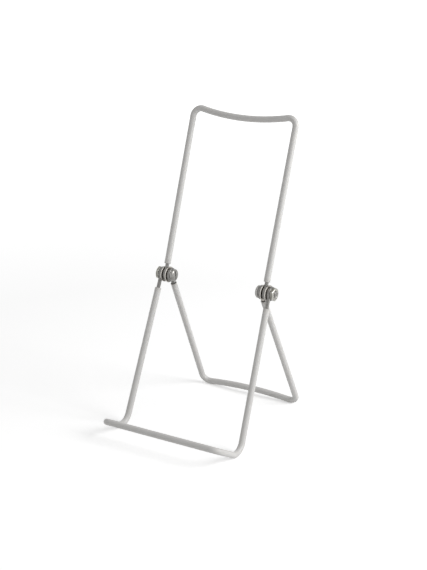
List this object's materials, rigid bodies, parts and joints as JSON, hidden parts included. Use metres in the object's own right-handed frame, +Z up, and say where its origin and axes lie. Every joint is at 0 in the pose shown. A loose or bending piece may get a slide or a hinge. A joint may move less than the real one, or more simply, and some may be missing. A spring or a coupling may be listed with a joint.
{
  "type": "photo album stand",
  "caption": "Folding easel of bent wire in pale vinyl sleeves, with a tilting back, a front ledge and a swinging rear leg on friction hinges.",
  "frame": {"origin": "on the table, under the centre of the stand's outline", "axes": "+Z up, -Y to the front where the ledge is, +X to the right seen from the front"},
  "size_m": [0.1092, 0.141, 0.2414],
  "materials": {
    "vinyl_sleeve": "off-white vinyl sleeve, smooth with a soft satin gloss",
    "steel_wire": "drawn steel wire, bare and slightly darkened at the eyes",
    "washer_plate": "zinc-plated plain washer with a dull warm tone",
    "plated_nut": "plated hexagon nut, semi-bright",
    "plated_screw": "plated round-headed slotted screw, semi-bright"
  },
  "bodies": {
    "front_frame": {"front_wire": "steel_wire", "front_sleeve": "vinyl_sleeve", "hinge_nut_left": "plated_nut", "hinge_nut_right": "plated_nut", "hinge_screw_left": "plated_screw", "hinge_screw_right": "plated_screw", "inner_washer_left": "washer_plate", "inner_washer_right": "washer_plate", "outer_washer_left": "washer_plate", "outer_washer_right": "washer_plate"},
    "back_frame": {"back_wire": "steel_wire", "back_sleeve": "vinyl_sleeve"},
    "rear_leg": {"leg_wire": "steel_wire", "leg_sleeve": "vinyl_sleeve"}
  },
  "joints": [
    {"name": "back_tilt", "type": "hinge", "parent": "front_frame", "child": "back_frame", "pos_m": [0, 0.01319, 0.1124], "axis": [1, 0, 0], "range_deg": [-60, 135]},
    {"name": "leg_swing", "type": "hinge", "parent": "front_frame", "child": "rear_leg", "pos_m": [0, 0.01319, 0.1124], "axis": [1, 0, 0], "range_deg": [-50, 40]}
  ]
}
